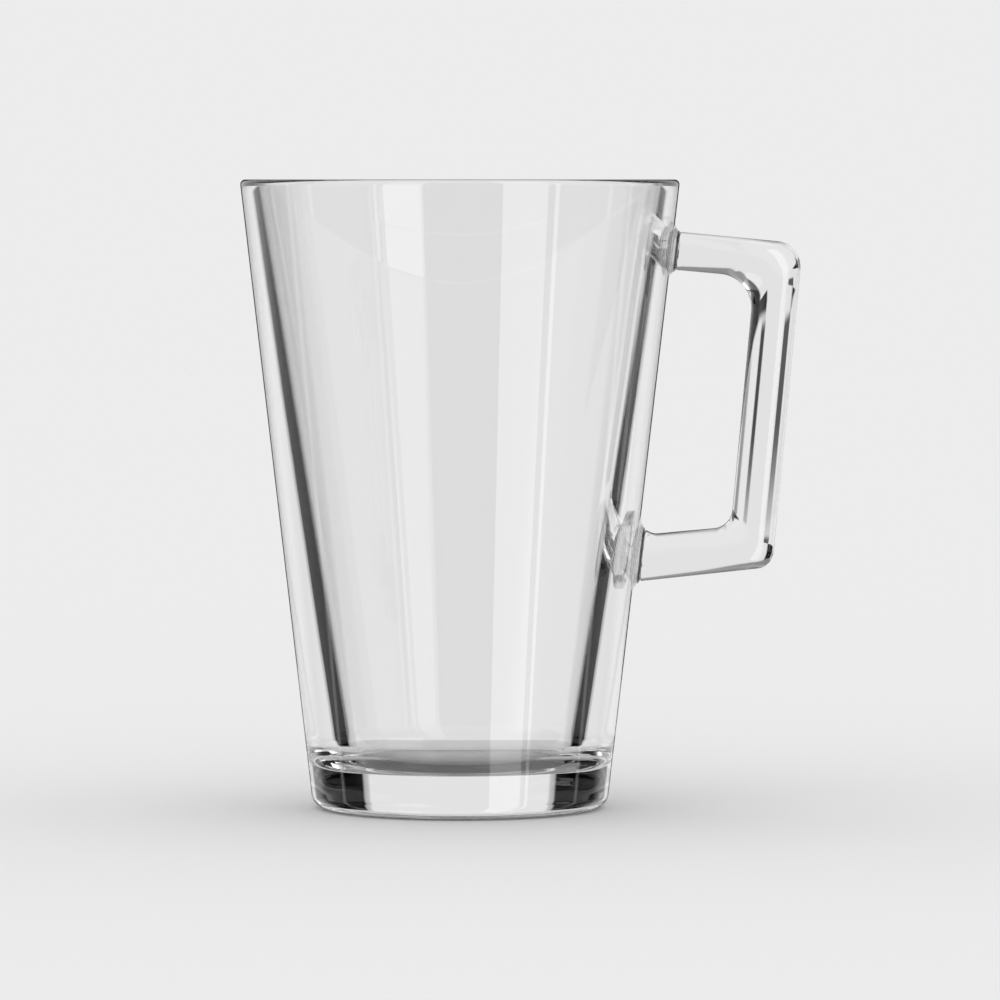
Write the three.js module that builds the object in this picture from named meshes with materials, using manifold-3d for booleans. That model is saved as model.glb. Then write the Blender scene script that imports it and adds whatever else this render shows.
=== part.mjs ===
// A clear glass mug: a tapered cup with a heavy base, and a square handle stuck on at two flared welds.
// Millimetres, +Z up. The origin is the middle of the flat underside, and the handle points along +X.
import * as THREE from "three";
import { mergeVertices } from "three/addons/utils/BufferGeometryUtils.js";
import Module from "manifold-3d";

// The cup. The foot's diameter is the wall's cone carried down to the table.
const HEIGHT = 127.5;
const RIM_DIAMETER = 89;
const FOOT_DIAMETER = 59.8;
const HEEL_RADIUS = 3;
const RIM_OUTER_RADIUS = 1;
const RIM_INNER_RADIUS = 1.3;

// The hollow. The wall is thin at the rim and thick where it runs into the base.
const RIM_WALL = 3.4;
const FLOOR_WALL = 8.7;
const FLOOR_THICKNESS = 8.6;
const FLOOR_CORNER_RADIUS = 6.8;

// The handle's bar, with heights taken on the wall. Both arms slope towards the middle of the handle.
const HANDLE_DROP = 10.5;
const HANDLE_SPAN = 71;
const HANDLE_WIDTH = 10;
const UPPER_ARM_THICKNESS = 7.7;
const LOWER_ARM_THICKNESS = 9;
const GRIP_THICKNESS = 9.1;
const FINGER_GAP = 18;
const UPPER_ARM_SLOPE = 5.4;
const LOWER_ARM_SLOPE = 5.8;
const GRIP_LEAN = 5.3;
const EDGE_RADIUS = 3.3;

// The bends between the arms and the grip, outside and inside the handle.
const OUTER_TOP_RADIUS = 5.3;
const OUTER_BOTTOM_RADIUS = 3.7;
const INNER_TOP_RADIUS = 6.9;
const INNER_BOTTOM_RADIUS = 4.1;

// The welds. Each spreads over the wall above, below and beside its arm. The seam gap is the narrow
// space that keeps neighbouring solids apart.
const WELD_THICKNESS = 2.2;
const UPPER_WELD_FLARE_ABOVE = 1.8;
const UPPER_WELD_FLARE_BELOW = 2;
const LOWER_WELD_FLARE_ABOVE = 4.2;
const LOWER_WELD_FLARE_BELOW = 2.8;
const WELD_FLARE_BESIDE = 1.5;
const SEAM_GAP = 0.3;

// How finely the round faces are cut into flat ones.
const ROUND_SEGMENTS = 72;
const ARC_DIVISIONS = 3;
const WELD_ROWS = 6;

const wasm = await Module();
wasm.setup();

// The outer wall's radius at a height, grown by an offset. The wall is at its widest where the rim's
// outer rounding springs from it.
const rimSpring = HEIGHT - RIM_OUTER_RADIUS;
const wallSlope = (RIM_DIAMETER - FOOT_DIAMETER) / 2 / rimSpring;
const wallRadius = (z, offset = 0) => FOOT_DIAMETER / 2 + wallSlope * z + offset;

// Adds one corner of an outline: a plain point, or an arc that touches both of its edges.
function addCorner(path, before, [x, y, radius], after) {
  if (!radius) {
    path.lineTo(x, y);
    return;
  }
  const corner = new THREE.Vector2(x, y);
  const back = new THREE.Vector2(before[0], before[1]).sub(corner).normalize();
  const ahead = new THREE.Vector2(after[0], after[1]).sub(corner).normalize();
  const halfAngle = Math.acos(THREE.MathUtils.clamp(back.dot(ahead), -1, 1)) / 2;
  const centre = back.clone().add(ahead).setLength(radius / Math.sin(halfAngle)).add(corner);
  const start = back.clone().multiplyScalar(radius / Math.tan(halfAngle)).add(corner).sub(centre);
  const end = ahead.clone().multiplyScalar(radius / Math.tan(halfAngle)).add(corner).sub(centre);
  const sweep = [centre.x, centre.y, radius, start.angle(), end.angle(), back.cross(ahead) > 0];
  const touch = new THREE.ArcCurve(...sweep).getPoint(0);
  path.lineTo(touch.x, touch.y);
  path.absarc(...sweep);
}

// An outline through corners given as [across, up, radius]. It starts and ends on plain corners.
function outline(corners) {
  const path = new THREE.Shape();
  path.moveTo(corners[0][0], corners[0][1]);
  for (let i = 1; i < corners.length; i += 1) {
    addCorner(path, corners[i - 1], corners[i], corners[(i + 1) % corners.length]);
  }
  return path;
}

// A profile of [radius, height] points turned about the Z axis.
function turned(points) {
  return new THREE.LatheGeometry(points, ROUND_SEGMENTS).rotateX(Math.PI / 2);
}

// A closed geometry as a solid that can be joined and cut.
function solidOf(geometry) {
  const bare = geometry.clone();
  bare.deleteAttribute("normal");
  bare.deleteAttribute("uv");
  const merged = mergeVertices(bare, 1e-4);
  const vertProperties = new Float32Array(merged.attributes.position.array);
  const triVerts = new Uint32Array(merged.index.array);
  return new wasm.Manifold(new wasm.Mesh({ numProp: 3, vertProperties, triVerts }));
}

// A solid as a geometry with flat faces.
function geometryOf(solid) {
  const mesh = solid.getMesh();
  const geometry = new THREE.BufferGeometry();
  geometry.setAttribute("position", new THREE.BufferAttribute(mesh.vertProperties, 3));
  geometry.setIndex(new THREE.BufferAttribute(mesh.triVerts, 1));
  geometry.computeVertexNormals();
  return geometry;
}

// The space inside the outer wall grown by an offset, as a solid that runs past the foot and the rim.
function wallSolid(offset) {
  const low = -HEIGHT / 2;
  const high = HEIGHT * 1.5;
  const profile = [
    new THREE.Vector2(0, low),
    new THREE.Vector2(wallRadius(low, offset), low),
    new THREE.Vector2(wallRadius(high, offset), high),
    new THREE.Vector2(0, high),
  ];
  return solidOf(turned(profile));
}

// The cup: flat underside, rounded heel, tapered wall, rounded rim, and a hollow with a rounded floor.
function mugBodyGeometry() {
  const profile = outline([
    [0, 0],
    [wallRadius(0), 0, HEEL_RADIUS],
    [wallRadius(HEIGHT), HEIGHT, RIM_OUTER_RADIUS],
    [wallRadius(HEIGHT) - RIM_WALL, HEIGHT, RIM_INNER_RADIUS],
    [wallRadius(FLOOR_THICKNESS) - FLOOR_WALL, FLOOR_THICKNESS, FLOOR_CORNER_RADIUS],
    [0, FLOOR_THICKNESS],
  ]);
  return turned(profile.getPoints(ARC_DIVISIONS));
}

// The straight edges of the handle's side view, each as height = level + slope * reach, or, for the
// grip, reach = level + lean * height. Heights on the wall come from the rim downwards.
const radians = THREE.MathUtils.degToRad;
const handleTop = HEIGHT - HANDLE_DROP;
const handleFoot = handleTop - HANDLE_SPAN;
const handleMiddle = (handleTop + handleFoot) / 2;
const upperSlope = -Math.tan(radians(UPPER_ARM_SLOPE));
const lowerSlope = Math.tan(radians(LOWER_ARM_SLOPE));
const gripLean = Math.tan(radians(GRIP_LEAN));
const upperOuter = handleTop - upperSlope * wallRadius(handleTop);
const upperInner = upperOuter - UPPER_ARM_THICKNESS / Math.cos(radians(UPPER_ARM_SLOPE));
const lowerOuter = handleFoot - lowerSlope * wallRadius(handleFoot);
const lowerInner = lowerOuter + LOWER_ARM_THICKNESS / Math.cos(radians(LOWER_ARM_SLOPE));
const gripInner = wallRadius(handleMiddle) + FINGER_GAP - gripLean * handleMiddle;
const gripOuter = gripInner + GRIP_THICKNESS / Math.cos(radians(GRIP_LEAN));

// The rounding of the bar's long edges, which its thinnest arm and its sharpest bend limit.
const thinnest = Math.min(UPPER_ARM_THICKNESS, LOWER_ARM_THICKNESS, GRIP_THICKNESS, HANDLE_WIDTH);
const sharpest = Math.min(OUTER_TOP_RADIUS, OUTER_BOTTOM_RADIUS);
const edgeRadius = Math.min(EDGE_RADIUS, 0.45 * thinnest, 0.9 * sharpest);

// Where an arm's edge crosses a grip's edge.
function crossing(level, slope, gripLevel, radius) {
  const height = (level + slope * gripLevel) / (1 - slope * gripLean);
  return [gripLevel + gripLean * height, height, radius];
}

// All that lies on the cup's side of a flat plane, which leans with the wall at an offset from it.
function seamCutter(offset) {
  const block = new THREE.BoxGeometry(HEIGHT, HEIGHT, HEIGHT * 2);
  block.translate(-HEIGHT / 2, 0, 0);
  block.rotateY(Math.atan(wallSlope));
  block.translate(wallRadius(0, offset), 0, 0);
  return solidOf(block);
}

// The handle: its side view pressed to an even width, edges rounded, and feet cut flat at the welds.
function handleGeometry() {
  const inside = wallRadius(handleFoot) / 2;
  const side = outline([
    [inside, upperInner + upperSlope * inside],
    [inside, upperOuter + upperSlope * inside],
    crossing(upperOuter, upperSlope, gripOuter, OUTER_TOP_RADIUS),
    crossing(lowerOuter, lowerSlope, gripOuter, OUTER_BOTTOM_RADIUS),
    [inside, lowerOuter + lowerSlope * inside],
    [inside, lowerInner + lowerSlope * inside],
    crossing(lowerInner, lowerSlope, gripInner, INNER_BOTTOM_RADIUS),
    crossing(upperInner, upperSlope, gripInner, INNER_TOP_RADIUS),
  ]);
  const bar = new THREE.ExtrudeGeometry(side, {
    depth: HANDLE_WIDTH - 2 * edgeRadius,
    curveSegments: ARC_DIVISIONS,
    bevelThickness: edgeRadius,
    bevelSize: edgeRadius,
    bevelOffset: -edgeRadius,
    bevelSegments: ARC_DIVISIONS,
  });
  bar.translate(0, 0, edgeRadius - HANDLE_WIDTH / 2);
  bar.rotateX(Math.PI / 2);
  return geometryOf(solidOf(bar).subtract(seamCutter(WELD_THICKNESS + SEAM_GAP)));
}

// A ring of points round an arm's section. Along a weld, from 0 at the wall to 1 at the handle's foot,
// the ring shrinks in a hollow curve to the arm's own section, and flattens from the cone to a plane.
function weldRing(arm, along) {
  const growth = 1 - Math.sqrt(1 - (1 - along) ** 2);
  const top = (arm.top - arm.bottom) / 2 + growth * arm.flareAbove;
  const bottom = (arm.bottom - arm.top) / 2 - growth * arm.flareBelow;
  const side = HANDLE_WIDTH / 2 + growth * WELD_FLARE_BESIDE;
  const radius = edgeRadius + growth * WELD_FLARE_BESIDE;
  const section = outline([
    [side, 0],
    [side, top, radius],
    [-side, top, radius],
    [-side, bottom, radius],
    [side, bottom, radius],
  ]);
  const level = (arm.top + arm.bottom) / 2;
  const middle = (level + arm.slope * wallRadius(0)) / (1 - arm.slope * wallSlope);
  return section.getPoints(ARC_DIVISIONS).map(({ x: across, y: up }) => {
    const z = middle + arm.slope * along * WELD_THICKNESS + up;
    const onWall = Math.sqrt(wallRadius(z) ** 2 - across ** 2);
    return new THREE.Vector3(THREE.MathUtils.lerp(onWall, wallRadius(z, WELD_THICKNESS), along), across, z);
  });
}

// A closed skin over rings of points, with a flat fan over each end.
function skinned(rings) {
  const count = rings[0].length;
  const points = rings.flat();
  const first = points.length;
  for (const ring of [rings[0], rings[rings.length - 1]]) {
    const centre = new THREE.Vector3();
    ring.forEach((point) => centre.addScaledVector(point, 1 / count));
    points.push(centre);
  }
  const index = [];
  for (let i = 0; i < count; i += 1) {
    const next = (i + 1) % count;
    for (let row = 0; row < rings.length - 1; row += 1) {
      const low = row * count;
      const high = low + count;
      index.push(low + i, low + next, high + next, low + i, high + next, high + i);
    }
    const last = (rings.length - 1) * count;
    index.push(first, next, i, first + 1, last + i, last + next);
  }
  const geometry = new THREE.BufferGeometry().setFromPoints(points);
  geometry.setIndex(index);
  return geometry;
}

// A weld collar: it leaves the wall wide and narrows to the arm. Its wide end is cut to the wall.
function weldGeometry(arm) {
  const rings = [];
  for (let row = 0; row <= WELD_ROWS; row += 1) {
    rings.push(weldRing(arm, row / WELD_ROWS));
  }
  return geometryOf(solidOf(skinned(rings)).subtract(wallSolid(SEAM_GAP)));
}

// Colourless soda-lime glass, a material of its own for each piece.
function clearGlass() {
  return new THREE.MeshStandardMaterial({
    color: 0xe9edec,
    roughness: 0.05,
    metalness: 0,
    transparent: true,
    opacity: 0.35,
  });
}

function piece(name, geometry) {
  const mesh = new THREE.Mesh(geometry, clearGlass());
  mesh.name = name;
  return mesh;
}

// Each arm's edges and slope, with how far its weld spreads over the wall.
const upperArm = {
  top: upperOuter,
  bottom: upperInner,
  slope: upperSlope,
  flareAbove: UPPER_WELD_FLARE_ABOVE,
  flareBelow: UPPER_WELD_FLARE_BELOW,
};
const lowerArm = {
  top: lowerInner,
  bottom: lowerOuter,
  slope: lowerSlope,
  flareAbove: LOWER_WELD_FLARE_ABOVE,
  flareBelow: LOWER_WELD_FLARE_BELOW,
};

const mug = new THREE.Group();
mug.add(piece("mug_body", mugBodyGeometry()));
mug.add(piece("handle", handleGeometry()));
mug.add(piece("upper_weld_collar", weldGeometry(upperArm)));
mug.add(piece("lower_weld_collar", weldGeometry(lowerArm)));

export default mug;
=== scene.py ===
import math

import bmesh
import bpy
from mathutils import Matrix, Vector


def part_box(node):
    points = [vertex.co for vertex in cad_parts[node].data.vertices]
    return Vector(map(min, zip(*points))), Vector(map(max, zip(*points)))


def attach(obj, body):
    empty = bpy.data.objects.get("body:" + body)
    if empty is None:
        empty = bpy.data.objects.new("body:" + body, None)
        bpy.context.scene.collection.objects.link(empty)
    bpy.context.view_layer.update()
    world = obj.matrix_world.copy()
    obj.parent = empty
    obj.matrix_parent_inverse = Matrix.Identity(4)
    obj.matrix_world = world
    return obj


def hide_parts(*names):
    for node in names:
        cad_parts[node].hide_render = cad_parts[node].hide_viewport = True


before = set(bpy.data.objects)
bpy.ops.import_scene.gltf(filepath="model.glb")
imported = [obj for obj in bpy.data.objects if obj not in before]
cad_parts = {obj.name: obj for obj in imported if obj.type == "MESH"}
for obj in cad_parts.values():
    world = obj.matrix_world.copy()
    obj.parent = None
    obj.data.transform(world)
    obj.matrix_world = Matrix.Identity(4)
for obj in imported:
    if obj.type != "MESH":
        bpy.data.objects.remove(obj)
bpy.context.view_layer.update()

# The view. The photographer stood level with the rim and looked a little down, square to the handle,
# through a long lens. Sizes are metres, and the picture is a square of 1000 pixels.
cup_low, cup_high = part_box("mug_body")
height = cup_high.z
camera_distance = 1.35
rim_width_pixels = 438.5
rim_line_pixel = 179.5
axis_pixel = 460
picture_pixels = 1000
sensor_width = 36

pixels_per_metre = rim_width_pixels / (cup_high.x - cup_low.x)
focal_pixels = pixels_per_metre * camera_distance
picture_middle = picture_pixels / 2

lens = bpy.data.cameras.new("long_lens")
lens.sensor_width = sensor_width
lens.lens = sensor_width * focal_pixels / picture_pixels
camera = bpy.data.objects.new("camera", lens)
bpy.context.scene.collection.objects.link(camera)
bpy.context.scene.camera = camera
pitch = math.atan((picture_middle - rim_line_pixel) / focal_pixels)
camera.location = ((picture_middle - axis_pixel) / pixels_per_metre, -camera_distance, height)
camera.rotation_euler = (math.pi / 2 - pitch, 0, 0)


# The table and the studio. A plain pale sheet lies under the mug and runs on into a pale backdrop.
# Dark boards, slats and strip lights are seen only through the glass or mirrored in it. The sheet is
# hidden from those rays, and a small disc of the same paper under the foot is seen through the glass.
def linear(code):
    """An sRGB hex colour as linear red, green, blue and alpha."""
    parts = [int(code[i:i + 2], 16) / 255 for i in (1, 3, 5)]
    return [c / 12.92 if c <= 0.04045 else ((c + 0.055) / 1.055) ** 2.4 for c in parts] + [1]


def add_node(tree, kind, feeds=None, **settings):
    """Adds one node with its settings. Each feed is a value, or another node's output."""
    made = tree.nodes.new(kind)
    for name, value in settings.items():
        setattr(made, name, value)
    for socket, feed in (feeds or {}).items():
        if isinstance(feed, bpy.types.NodeSocket):
            tree.links.new(feed, made.inputs[socket])
        else:
            made.inputs[socket].default_value = feed
    return made


backdrop_colour = "#ECECEC"
floor_size = 6.0
floor_drop = 0.0002

floor_mesh = bpy.data.meshes.new("table_sheet")
half = floor_size / 2
floor_corners = [(-half, -half), (half, -half), (half, half), (-half, half)]
floor_mesh.from_pydata([(x, y, -floor_drop) for x, y in floor_corners], [], [(0, 1, 2, 3)])
floor = bpy.data.objects.new("table_sheet", floor_mesh)
bpy.context.scene.collection.objects.link(floor)

# Matt paper has no gleam of its own, so the table runs evenly into the backdrop.
paper = bpy.data.materials.new("pale_paper")
paper.use_nodes = True
paper.node_tree.nodes["Principled BSDF"].inputs["Base Color"].default_value = linear(backdrop_colour)
paper.node_tree.nodes["Principled BSDF"].inputs["Roughness"].default_value = 1
paper.node_tree.nodes["Principled BSDF"].inputs["Specular IOR Level"].default_value = 0
floor_mesh.materials.append(paper)
floor.visible_glossy = False
floor.visible_transmission = False

under_radius = 0.05
under_lift = 0.0001
under_sides = 96
under_mesh = bpy.data.meshes.new("paper_under_foot")
turns = [math.tau * i / under_sides for i in range(under_sides)]
under_mesh.from_pydata(
    [(under_radius * math.cos(a), under_radius * math.sin(a), under_lift - floor_drop) for a in turns],
    [],
    [tuple(range(under_sides))],
)
under_mesh.materials.append(paper)
under = bpy.data.objects.new("paper_under_foot", under_mesh)
bpy.context.scene.collection.objects.link(under)
under.visible_camera = False
under.visible_diffuse = False
under.visible_glossy = False
under.visible_shadow = False

studio = bpy.data.worlds.new("studio")
studio.use_nodes = True
bpy.context.scene.world = studio
sky = studio.node_tree
sky.nodes.clear()
direction = add_node(sky, "ShaderNodeTexCoord").outputs["Generated"]
along = add_node(sky, "ShaderNodeSeparateXYZ", {0: direction})
azimuth = add_node(
    sky, "ShaderNodeMath", {0: along.outputs["X"], 1: along.outputs["Y"]}, operation="ARCTAN2"
).outputs[0]
aside = add_node(sky, "ShaderNodeMath", {0: azimuth}, operation="ABSOLUTE").outputs[0]
elevation = add_node(sky, "ShaderNodeMath", {0: along.outputs["Z"]}, operation="ARCSINE").outputs[0]


def passing(angle, start, end, kind="SMOOTHSTEP"):
    """Zero to one as an angle, in radians, goes from one bound to another, both given in degrees."""
    bounds = {"Value": angle, "From Min": math.radians(start), "From Max": math.radians(end)}
    return add_node(sky, "ShaderNodeMapRange", bounds, interpolation_type=kind).outputs[0]


def times(first, second):
    """The product of two values."""
    return add_node(sky, "ShaderNodeMath", {0: first, 1: second}, operation="MULTIPLY").outputs[0]


def between(angle, low, high, soft):
    """One where an angle lies between two bounds in degrees, with soft edges."""
    return times(passing(angle, low - soft, low + soft), passing(angle, high + soft, high - soft))


def over(behind, cover, colour):
    """A colour laid over another, as far as the cover says."""
    feeds = {"Factor": cover, 6: behind, 7: colour}
    return add_node(sky, "ShaderNodeMix", feeds, data_type="RGBA").outputs[2]


def grey(level):
    """A plain grey of that brightness."""
    return (level, level, level, 1)


pale = linear(backdrop_colour)
strip_level = 2.5
inner_strip_level = 1.6
side_strip_level = 1.2
dim_level = 0.03
high_level = 0.29
under_level = 0.5
left_slat_level = 0.11
right_slat_level = 0.07
far_slat_level = 0.28
slat_lean = 0.093
edge_level = 0.04

# Bounds are in degrees. Azimuth is zero straight behind the mug and grows towards the handle. Elevation
# is zero on the level, and leaning is elevation that grows a little with azimuth.
strip_azimuths = (132, 157)
thin_strip_azimuths = (125.5, 128)
strip_soft = 0.5
side_strip_azimuths = (76, 79)
side_strip_soft = 1.5
strip_elevations = (-60, 60)
strip_end_soft = 1
board_edge_elevations = (-15.8, -8.2)
board_edge_azimuths = (44, 26.5)
board_shades = ((-0.5, 0.84), (0.5, 0.55), (1.8, 0.45), (2.8, 0.01), (9, 0))
board_span = (-2, 10)
board_far_edge = (75, 70)
low_board_foot = (-26, -20)
low_board_head = (-7.2, -8)
high_board_foot = (-1.02, -0.9)
high_board_head = (29, 23)
slat_foot = (-3.4, -1.9)
slat_head = (-0.9, -1.1)
left_slat_azimuths = (-29, -17)
right_slat_azimuths = (13, 19.5)
slat_soft = 1.2
seam_slat_azimuths = (14, 30)
seam_slat_soft = 1
seam_slat_leanings = (-0.9, 2.2)
seam_slat_end_soft = 0.1
far_slat_azimuths = (38, 56)
far_slat_soft = 4
far_slat_leanings = (-3.6, -1)
far_slat_end_soft = 0.2
high_dusk = (16, 28)
under_dusk = (-40, -60)
front_azimuths = (115, 130)
front_elevations = (-8, -2)
mirrored_side_azimuths = (40, 56)
mirrored_middle_azimuths = (15, 11)

strip_height = between(elevation, *strip_elevations, strip_end_soft)
strip = times(between(azimuth, *strip_azimuths, strip_soft), strip_height)
thin_strip = times(between(azimuth, *thin_strip_azimuths, strip_soft), strip_height)
side_strip = times(between(aside, *side_strip_azimuths, side_strip_soft), strip_height)

board_edge = add_node(
    sky, "ShaderNodeMapRange",
    {
        "Value": elevation,
        "From Min": math.radians(board_edge_elevations[0]),
        "From Max": math.radians(board_edge_elevations[1]),
        "To Min": math.radians(board_edge_azimuths[0]),
        "To Max": math.radians(board_edge_azimuths[1]),
    },
).outputs[0]
past_edge = add_node(sky, "ShaderNodeMath", {0: aside, 1: board_edge}, operation="SUBTRACT").outputs[0]
shading = add_node(sky, "ShaderNodeValToRGB", {0: passing(past_edge, *board_span, "LINEAR")})
stops = shading.color_ramp.elements
while len(stops) < len(board_shades):
    stops.new(0.5)
for stop, (degrees, level) in zip(stops, board_shades):
    stop.position = (degrees - board_span[0]) / (board_span[1] - board_span[0])
    stop.color = grey(level)
low_board = times(passing(elevation, *low_board_foot), passing(elevation, *low_board_head))
lean = add_node(sky, "ShaderNodeMath", {0: azimuth, 1: slat_lean}, operation="MULTIPLY").outputs[0]
leaning = add_node(sky, "ShaderNodeMath", {0: elevation, 1: lean}, operation="ADD").outputs[0]
high_board = times(passing(leaning, *high_board_foot), passing(elevation, *high_board_head))
boards = add_node(sky, "ShaderNodeMath", {0: low_board, 1: high_board}, operation="ADD").outputs[0]
board_cover = times(passing(aside, *board_far_edge), boards)
slat_fade = times(passing(leaning, *slat_foot), passing(leaning, *slat_head))
left_slat = times(between(azimuth, *left_slat_azimuths, slat_soft), slat_fade)
right_slat = times(between(azimuth, *right_slat_azimuths, slat_soft), slat_fade)
seam_slat = times(
    between(azimuth, *seam_slat_azimuths, seam_slat_soft),
    between(leaning, *seam_slat_leanings, seam_slat_end_soft),
)
far_slat = times(
    between(azimuth, *far_slat_azimuths, far_slat_soft),
    between(leaning, *far_slat_leanings, far_slat_end_soft),
)

seen_through = over(pale, passing(elevation, *high_dusk), grey(high_level))
seen_through = over(seen_through, passing(elevation, *under_dusk), grey(under_level))
seen_through = over(seen_through, far_slat, grey(far_slat_level))
front = times(passing(aside, *front_azimuths), passing(elevation, *front_elevations))
seen_through = over(seen_through, front, grey(dim_level))
seen_through = over(seen_through, times(front, strip), grey(inner_strip_level))
seen_through = over(seen_through, times(front, thin_strip), grey(inner_strip_level))
seen_through = over(seen_through, board_cover, shading.outputs[0])
seen_through = over(seen_through, left_slat, grey(left_slat_level))
seen_through = over(seen_through, right_slat, grey(right_slat_level))
seen_through = over(seen_through, seam_slat, grey(edge_level))

mirrored = over(pale, passing(aside, *mirrored_side_azimuths), grey(dim_level))
mirrored = over(mirrored, passing(aside, *mirrored_middle_azimuths), grey(edge_level))
mirrored = over(mirrored, strip, grey(strip_level))
mirrored = over(mirrored, thin_strip, grey(strip_level))
mirrored = over(mirrored, side_strip, grey(side_strip_level))

path = add_node(sky, "ShaderNodeLightPath").outputs
shade = over(grey(1), path["Is Glossy Ray"], mirrored)
shade = over(shade, path["Is Transmission Ray"], seen_through)
shade = over(shade, path["Is Camera Ray"], pale)
light = add_node(sky, "ShaderNodeBackground", {"Color": shade, "Strength": 1})
add_node(sky, "ShaderNodeOutputWorld", {"Surface": light.outputs[0]})

# The cup. One piece of clear soda-lime glass, pressed in a mould and fire-polished, with a heavy base
# and a wall that thins towards its rounded rim. Its outline is turned about the axis.
rim_radius = 0.0445
foot_radius = 0.0299
rim_wall = 0.0034
rim_outer_radius = 0.001
rim_inner_radius = 0.0013
floor_wall = 0.0087
floor_thickness = 0.0086
floor_corner_radius = 0.0068
heel_radius = 0.003
cup_segments = 144
corner_steps = 32
row_spacing = 0.001
merge_distance = 0.000001

wall_slope = (rim_radius - foot_radius) / (height - rim_outer_radius)


def wall_radius(z):
    """The outer wall's radius at a height."""
    return foot_radius + wall_slope * z


cup_outline = [
    (0, 0, 0),
    (foot_radius, 0, heel_radius),
    (wall_radius(height), height, rim_outer_radius),
    (wall_radius(height) - rim_wall, height, rim_inner_radius),
    (wall_radius(floor_thickness) - floor_wall, floor_thickness, floor_corner_radius),
    (0, floor_thickness, 0),
]
profile = bpy.data.meshes.new("cup_outline")
profile.from_pydata(
    [(radius, 0, z) for radius, z, rounding in cup_outline],
    [(i, i + 1) for i in range(len(cup_outline) - 1)],
    [],
)
rounding_attribute = profile.attributes.new("corner_rounding", "FLOAT", "POINT")
for item, (radius, z, rounding) in zip(rounding_attribute.data, cup_outline):
    item.value = rounding

turning = bpy.data.node_groups.new("turned_glass", "GeometryNodeTree")
sockets = {}
for name, kind in (
    ("Geometry", "NodeSocketGeometry"),
    ("Segments", "NodeSocketInt"),
    ("Corner Steps", "NodeSocketInt"),
    ("Row Spacing", "NodeSocketFloat"),
    ("Material", "NodeSocketMaterial"),
):
    sockets[name] = turning.interface.new_socket(name, in_out="INPUT", socket_type=kind).identifier
turning.interface.new_socket("Geometry", in_out="OUTPUT", socket_type="NodeSocketGeometry")
given = add_node(turning, "NodeGroupInput").outputs
outline_curve = add_node(turning, "GeometryNodeMeshToCurve", {"Mesh": given["Geometry"]})
rounding = add_node(
    turning, "GeometryNodeInputNamedAttribute", {"Name": "corner_rounding"}, data_type="FLOAT"
)
rounded = add_node(
    turning, "GeometryNodeFilletCurve",
    {
        "Curve": outline_curve.outputs[0],
        "Count": given["Corner Steps"],
        "Radius": rounding.outputs[0],
        "Limit Radius": True,
    },
    mode="POLY",
)
travelled = add_node(turning, "GeometryNodeSplineParameter").outputs["Length"]
index = add_node(turning, "GeometryNodeInputIndex").outputs[0]
following = add_node(turning, "ShaderNodeMath", {0: index, 1: 1.0}, operation="ADD")
travelled_next = add_node(
    turning, "GeometryNodeFieldAtIndex",
    {"Index": following.outputs[0], "Value": travelled},
    data_type="FLOAT",
)
step = add_node(
    turning, "ShaderNodeMath", {0: travelled_next.outputs[0], 1: travelled}, operation="SUBTRACT"
)
cuts = add_node(
    turning, "ShaderNodeMath", {0: step.outputs[0], 1: given["Row Spacing"]}, operation="DIVIDE"
)
rows = add_node(
    turning, "GeometryNodeSubdivideCurve", {"Curve": rounded.outputs[0], "Cuts": cuts.outputs[0]}
)
row_count = add_node(
    turning, "GeometryNodeAttributeDomainSize", {"Geometry": rows.outputs[0]}, component="CURVE"
)
column_count = add_node(turning, "ShaderNodeMath", {0: given["Segments"], 1: 1.0}, operation="ADD")
sheet = add_node(
    turning, "GeometryNodeMeshGrid",
    {"Vertices X": row_count.outputs["Point Count"], "Vertices Y": column_count.outputs[0]},
)
row = add_node(turning, "ShaderNodeMath", {0: index, 1: column_count.outputs[0]}, operation="DIVIDE")
row = add_node(turning, "ShaderNodeMath", {0: row.outputs[0]}, operation="FLOOR")
column = add_node(turning, "ShaderNodeMath", {0: index, 1: column_count.outputs[0]}, operation="MODULO")
turn = add_node(turning, "ShaderNodeMath", {0: column.outputs[0], 1: given["Segments"]}, operation="DIVIDE")
turn = add_node(turning, "ShaderNodeMath", {0: turn.outputs[0], 1: math.tau}, operation="MULTIPLY")
place = add_node(turning, "GeometryNodeInputPosition")
on_outline = add_node(
    turning, "GeometryNodeSampleIndex",
    {"Geometry": rows.outputs[0], "Value": place.outputs[0], "Index": row.outputs[0]},
    data_type="FLOAT_VECTOR", domain="POINT",
)
swung = add_node(
    turning, "ShaderNodeVectorRotate",
    {"Vector": on_outline.outputs[0], "Axis": (0, 0, 1), "Angle": turn.outputs[0]},
    rotation_type="AXIS_ANGLE",
)
wrapped = add_node(
    turning, "GeometryNodeSetPosition", {"Geometry": sheet.outputs[0], "Position": swung.outputs[0]}
)
closed = add_node(
    turning, "GeometryNodeMergeByDistance", {"Geometry": wrapped.outputs[0], "Distance": merge_distance}
)
smooth = add_node(turning, "GeometryNodeSetShadeSmooth", {"Geometry": closed.outputs[0]})
whole = add_node(turning, "GeometryNodeRealizeInstances", {"Geometry": smooth.outputs[0]})
dressed = add_node(
    turning, "GeometryNodeSetMaterial", {"Geometry": whole.outputs[0], "Material": given["Material"]}
)
add_node(turning, "NodeGroupOutput", {0: dressed.outputs[0]})

glass_colour = "#FDFDFD"
glass_bending = 1.52
mould_wave = 0.012
mould_wave_depth = 0.000006


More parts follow.
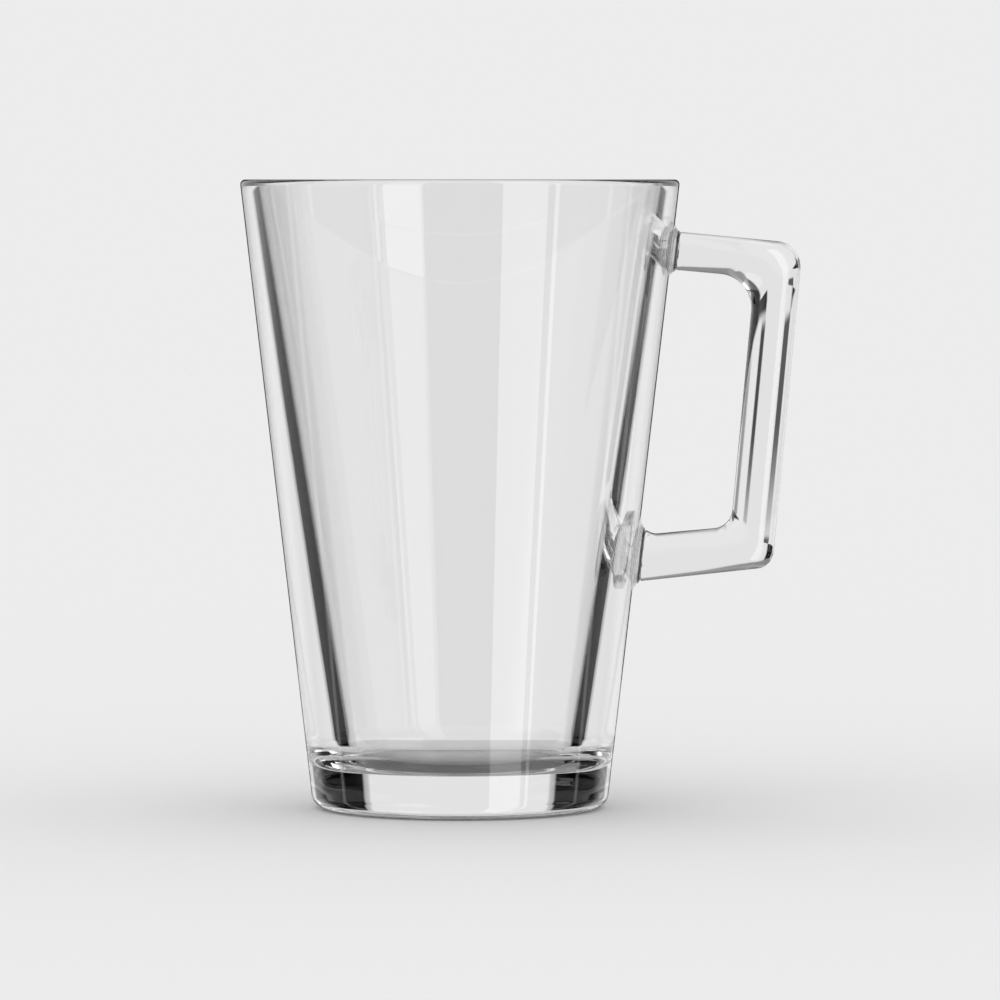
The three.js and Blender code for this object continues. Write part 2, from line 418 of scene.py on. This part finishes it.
def clear_glass(name, wave, depth, colour=glass_colour, bending=glass_bending, roughness=0):
    """Clear glass whose skin waves faintly, as wide and as deep as given, so that what it bends wavers."""
    material = bpy.data.materials.new(name)
    material.use_nodes = True
    tree = material.node_tree
    glass = tree.nodes["Principled BSDF"]
    glass.inputs["Base Color"].default_value = linear(colour)
    glass.inputs["Transmission Weight"].default_value = 1
    glass.inputs["Roughness"].default_value = roughness
    glass.inputs["IOR"].default_value = bending
    spot = add_node(tree, "ShaderNodeTexCoord").outputs["Object"]
    waves = add_node(tree, "ShaderNodeTexNoise", {"Vector": spot, "Scale": 1 / wave, "Detail": 1})
    skin = add_node(tree, "ShaderNodeBump", {"Height": waves.outputs[0], "Strength": 1, "Distance": depth})
    tree.links.new(skin.outputs[0], glass.inputs["Normal"])
    return material


# Pressed glass keeps slow, shallow waves from the mould. They give the bands and stripes a living edge.
cup_glass = clear_glass("pressed_soda_lime_glass", mould_wave, mould_wave_depth)


def plain_mesh(name, source):
    """A new object at the origin that holds another object's finished mesh."""
    seen = source.evaluated_get(bpy.context.evaluated_depsgraph_get())
    mesh = bpy.data.meshes.new_from_object(seen)
    mesh.name = name
    made = bpy.data.objects.new(name, mesh)
    bpy.context.scene.collection.objects.link(made)
    bpy.data.objects.remove(source)
    return made


cup_source = bpy.data.objects.new("cup_outline", profile)
bpy.context.scene.collection.objects.link(cup_source)
lathe = cup_source.modifiers.new("turning", "NODES")
lathe.node_group = turning
lathe[sockets["Segments"]] = cup_segments
lathe[sockets["Corner Steps"]] = corner_steps
lathe[sockets["Row Spacing"]] = row_spacing
lathe[sockets["Material"]] = cup_glass
cup = plain_mesh("cup", cup_source)


def face_outwards(piece):
    """Turns all of a closed piece's faces outwards."""
    shell = bmesh.new()
    shell.from_mesh(piece.data)
    bmesh.ops.recalc_face_normals(shell, faces=shell.faces)
    shell.to_mesh(piece.data)
    shell.free()


face_outwards(cup)
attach(cup, "root")
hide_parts("mug_body")

# The handle. A bar of the same clear glass, pressed to an even width and bent twice, with a round grip
# and flatter feet that were stuck on hot. It is skinned over rings that follow its side view.
handle_drop = 0.0105
handle_span = 0.071
handle_width = 0.01
upper_arm_thickness = 0.0077
lower_arm_thickness = 0.009
grip_thickness = 0.0091
finger_gap = 0.018
upper_arm_slope = 5.4
lower_arm_slope = 5.8
grip_lean_angle = 5.3
grip_rounding = (0.47, 0.0045)
foot_rounding = (0.3, 0.0025)
outer_top_radius = 0.0053
outer_bottom_radius = 0.0037
inner_top_radius = 0.0069
inner_bottom_radius = 0.0041
weld_thickness = 0.0014
seam_gap = 0.00002
flare_beside = 0.0006
upper_fillet = (0.0022, 0.0016, 0.0024, 0.0018)
lower_fillet = (0.0042, 0.0045, 0.0022, 0.0022)
fillet_steps = 10
seam_crease = 0.0005
seam_hollow = 0.0004
edge_steps = 28
bend_steps = 18
handle_wave = 0.008
handle_wave_depth = 0.000008
crease_steps = 8
support = 0.0003

handle_top = height - handle_drop
handle_foot = handle_top - handle_span
handle_middle = (handle_top + handle_foot) / 2
upper_slope = -math.tan(math.radians(upper_arm_slope))
lower_slope = math.tan(math.radians(lower_arm_slope))
grip_lean = math.tan(math.radians(grip_lean_angle))
upper_outer = handle_top - upper_slope * wall_radius(handle_top)
upper_inner = upper_outer - upper_arm_thickness / math.cos(math.radians(upper_arm_slope))
lower_outer = handle_foot - lower_slope * wall_radius(handle_foot)
lower_inner = lower_outer + lower_arm_thickness / math.cos(math.radians(lower_arm_slope))
grip_inner = wall_radius(handle_middle) + finger_gap - grip_lean * handle_middle
grip_outer = grip_inner + grip_thickness / math.cos(math.radians(grip_lean_angle))


def crossing(level, slope, grip_level):
    """Where an arm's edge crosses a grip's edge, in the side view."""
    z = (level + slope * grip_level) / (1 - slope * grip_lean)
    return Vector((grip_level + grip_lean * z, z))


def left_of(way):
    """The direction a quarter turn to the left of another, in the side view."""
    return Vector((-way.y, way.x))


def side_chain(levels, grip_level, radii):
    """Points down one edge of the side view, from upper to lower foot, each with its direction."""
    top = crossing(levels[0], upper_slope, grip_level)
    bottom = crossing(levels[1], lower_slope, grip_level)
    ways = [
        Vector((1, upper_slope)).normalized(),
        (bottom - top).normalized(),
        Vector((-1, -lower_slope)).normalized(),
    ]
    chain = []
    for corner, radius, before, after in ((top, radii[0], *ways[:2]), (bottom, radii[1], *ways[1:])):
        turn = before.angle_signed(after)
        start = corner - before * radius * math.tan(abs(turn) / 2)
        centre = start - left_of(before) * radius
        chain.append((start - before * support, before))
        for i in range(bend_steps + 1):
            angle = -abs(turn) * i / bend_steps
            way = Vector((
                before.x * math.cos(angle) - before.y * math.sin(angle),
                before.x * math.sin(angle) + before.y * math.cos(angle),
            ))
            chain.append((centre + left_of(way) * radius, way))
        chain.append((chain[-1][0] + after * support, after))
    return chain


def bar_ring(outer, inner, rounding):
    """A rounded section of the bar, as points and how they face."""
    round_share, side_round = rounding
    depth_round = (outer[0] - inner[0]).dot(left_of(outer[1])) * round_share
    edge_flat = handle_width / 2 - side_round
    ring = []
    for (point, way), (partner, _), sign, hand in (
        (outer, inner, 1, 1), (inner, outer, -1, 1), (inner, outer, -1, -1), (outer, inner, 1, -1)
    ):
        arc = [((point.x, hand * (edge_flat - support), point.y), (0, sign))]
        for i in range(edge_steps + 1):
            angle = math.pi / 2 * i / edge_steps
            spot = point.lerp(partner, round_share * (1 - math.cos(angle)))
            y = edge_flat + side_round * math.sin(angle)
            facing = Vector((math.sin(angle) / side_round, math.cos(angle) / depth_round)).normalized()
            arc.append(((spot.x, hand * y, spot.y), (hand * facing.x, sign * facing.y)))
        ring += arc if sign == hand else arc[::-1]
    return ring


def hollow_at(y):
    """How far a seam falls back towards the wall at its sides."""
    return seam_hollow * (2 * y / handle_width) ** 2


def slid_to_seam(ring, slope, offset):
    """A section moved along its arm on to a hollow face that leans with the wall, that far outside it."""
    moved = []
    for (x, y, z), facing in ring:
        go = (wall_radius(z) + offset - hollow_at(y) - x) / (1 - wall_slope * slope)
        moved.append(((x + go, y, z + slope * go), facing))
    return moved


def creased(ring, way, rise):
    """A section drawn in as a quarter round where it nears a seam. The rise is zero at the seam."""
    drawn_in = seam_crease * (1 - math.sqrt(1 - (1 - rise) ** 2))
    out = left_of(way)
    return [
        ((x - out.x * edge * drawn_in, y - beside * drawn_in, z - out.y * edge * drawn_in), (beside, edge))
        for (x, y, z), (beside, edge) in ring
    ]


def skinned(name, rings, first_sharp, last_sharp, material):
    """A closed, smooth mesh over rings of points, with two of its rings as sharp edges."""
    count = len(rings[0])
    points = [point for ring in rings for point in ring]
    faces = []
    for row in range(len(rings) - 1):
        start = row * count
        end = start + count
        for i in range(count):
            following = (i + 1) % count
            faces.append((start + i, start + following, end + following, end + i))
    quarter = count // 4
    across = [(quarter - 1 - i, quarter + i) for i in range(quarter)]
    across += [(count - 1 - i, 2 * quarter + i) for i in range(quarter)]
    for base in (0, (len(rings) - 1) * count):
        for (a, b), (c, d) in zip(across, across[1:]):
            faces.append((base + a, base + c, base + d, base + b))
    mesh = bpy.data.meshes.new(name)
    mesh.from_pydata(points, [], faces)
    mesh.materials.append(material)
    mesh.polygons.foreach_set("use_smooth", [True] * len(faces))
    made = bpy.data.objects.new(name, mesh)
    bpy.context.scene.collection.objects.link(made)
    face_outwards(made)
    sharp_rows = (first_sharp, len(rings) - 1 - last_sharp)
    for edge in mesh.edges:
        rows = [vertex // count for vertex in edge.vertices]
        edge.use_edge_sharp = rows[0] == rows[1] and rows[0] in sharp_rows
    return made


outer_chain = side_chain((upper_outer, lower_outer), grip_outer, (outer_top_radius, outer_bottom_radius))
inner_chain = side_chain((upper_inner, lower_inner), grip_inner, (inner_top_radius, inner_bottom_radius))
bar_rings = [bar_ring(outer, inner, grip_rounding) for outer, inner in zip(outer_chain, inner_chain)]
upper_section = bar_ring(outer_chain[0], inner_chain[0], foot_rounding)
lower_section = bar_ring(outer_chain[-1], inner_chain[-1], foot_rounding)
upper_way = outer_chain[0][1]
lower_way = outer_chain[-1][1]


def spread(distance, length, tallness):
    """How far a fillet stands out from an arm at a distance from the wall, as a quarter round."""
    share = max(0, 1 - distance / length)
    return tallness * (1 - math.sqrt(1 - share ** 2))


def flared(ring, distance, outer_is_above, fillet):
    """A section spread up, down and sideways as it nears the wall."""
    spread_above = spread(distance, *fillet[:2])
    spread_below = spread(distance, *fillet[2:])
    spread_beside = spread(distance, weld_thickness, flare_beside)
    spread_ring = []
    for (x, y, z), (beside, edge) in ring:
        above = edge if outer_is_above else -edge
        z += above * (spread_above if above > 0 else spread_below)
        spread_ring.append(((x, y + beside * spread_beside, z), (beside, edge)))
    return spread_ring


def foot_rings(section, way, slope, outer_is_above, fillet):
    """The last stretch of an arm, from its seam outwards, with the crease that runs round the seam."""
    rings = []
    for step in range(crease_steps + 1):
        rise = 1 - math.cos(math.pi / 2 * step / crease_steps)
        distance = weld_thickness + seam_gap + seam_crease * rise
        ring = creased(flared(section, distance, outer_is_above, fillet), way, rise)
        rings.append(slid_to_seam(ring, slope, distance))
    reach = max(fillet[0], fillet[2])
    start = weld_thickness + seam_gap + seam_crease
    for step in range(1, fillet_steps + 1):
        distance = start + (reach - start) * step / fillet_steps
        rings.append(slid_to_seam(flared(section, distance, outer_is_above, fillet), slope, distance))
    return rings


upper_foot = foot_rings(upper_section, upper_way, upper_slope, True, upper_fillet)
lower_foot = foot_rings(lower_section, lower_way, lower_slope, False, lower_fillet)
bar_rings = upper_foot + bar_rings + lower_foot[::-1]

# The handle cooled faster in a smaller mould, so its waves are shorter and its lines a little uneven.
handle_glass = clear_glass("pressed_handle_glass", handle_wave, handle_wave_depth)

bar_points = [[point for point, facing in ring] for ring in bar_rings]
handle = skinned("pressed_handle", bar_points, 0, 0, handle_glass)
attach(handle, "root")
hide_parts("handle")

# The weld collars. Where each foot of the handle was pressed on hot, its glass spread over the wall in
# a small hollow flare. Each collar grows from the foot's own section and ends on the wall.
weld_steps = 16
cap_rings = 4
weld_wave = 0.004
weld_wave_depth = 0.000008
# A dark grey for the painted shade in the seam's crease.
seam_shade_colour = "#2C2C2C"
fused_bending = 1.12
fused_roughness = 0.45

# Melted glass sets in short waves. The crease is tinted dark as painted shade, a painted shadow line
# along the seam, and the face fused to the wall bends little light, so that the wall stays clearer over it.
weld_glass = clear_glass("melted_weld_glass", weld_wave, weld_wave_depth)
seam_shade_glass = clear_glass("painted_seam_shade_glass", weld_wave, weld_wave_depth, colour=seam_shade_colour)
fused_face = clear_glass(
    "fused_weld_face", weld_wave, weld_wave_depth, bending=fused_bending, roughness=fused_roughness
)


def weld_collar(name, node, section, way, slope, outer_is_above, fillet):
    """Skins one collar over rings that spread from a foot's section to the wall."""
    rings = []
    for step in range(crease_steps + 1):
        rise = 1 - math.cos(math.pi / 2 * step / crease_steps)
        distance = weld_thickness - seam_crease * rise
        ring = creased(flared(section, distance, outer_is_above, fillet), way, rise)
        rings.append([point for point, facing in slid_to_seam(ring, slope, distance)])
    flare_depth = weld_thickness - seam_crease
    for step in range(1, weld_steps + 1):
        share = 1 - math.sin(math.pi / 2 * step / weld_steps)
        distance = flare_depth * share
        ring = []
        grown = slid_to_seam(flared(section, distance, outer_is_above, fillet), slope, distance)
        for (x, y, z), facing in grown:
            on_wall = math.sqrt(wall_radius(z) ** 2 - y ** 2) + seam_gap
            ring.append((on_wall + (wall_radius(z) + flare_depth - hollow_at(y) - on_wall) * share, y, z))
        rings.append(ring)
    wall_ring = rings[-1]
    middle = sum(z for x, y, z in wall_ring) / len(wall_ring)
    for step in range(1, cap_rings):
        share = 1 - step / cap_rings
        ring = []
        for x, y, z in wall_ring:
            y *= share
            z = middle + (z - middle) * share
            ring.append((math.sqrt(wall_radius(z) ** 2 - y ** 2) + seam_gap, y, z))
        rings.append(ring)
    collar = skinned(name, rings, 0, cap_rings - 1, weld_glass)
    collar.data.materials.append(fused_face)
    # The third slot, on the crease, is glass tinted dark with painted seam shade.
    collar.data.materials.append(seam_shade_glass)
    flared_faces = (len(rings) - cap_rings) * len(wall_ring)
    skin_faces = (len(rings) - 1) * len(wall_ring)
    last_cap = (skin_faces + len(collar.data.polygons)) // 2
    for i, face in enumerate(collar.data.polygons):
        on_wall = flared_faces <= i < skin_faces or i >= last_cap
        in_crease = i < crease_steps * len(wall_ring)
        face.material_index = 1 if on_wall else 2 if in_crease else 0
    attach(collar, "root")
    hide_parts(node)


weld_collar(
    "upper_weld", "upper_weld_collar", upper_section, upper_way, upper_slope, True, upper_fillet
)
weld_collar(
    "lower_weld", "lower_weld_collar", lower_section, lower_way, lower_slope, False, lower_fillet
)

# The picture. Light passes many glass faces, so it is followed for many bounces. Colours are shown as
# they are.
glass_bounces = 32
mirror_bounces = 16
bpy.context.scene.cycles.max_bounces = glass_bounces
bpy.context.scene.cycles.transmission_bounces = glass_bounces
bpy.context.scene.cycles.transparent_max_bounces = glass_bounces
bpy.context.scene.cycles.glossy_bounces = mirror_bounces
bpy.context.scene.view_settings.view_transform = "Standard"
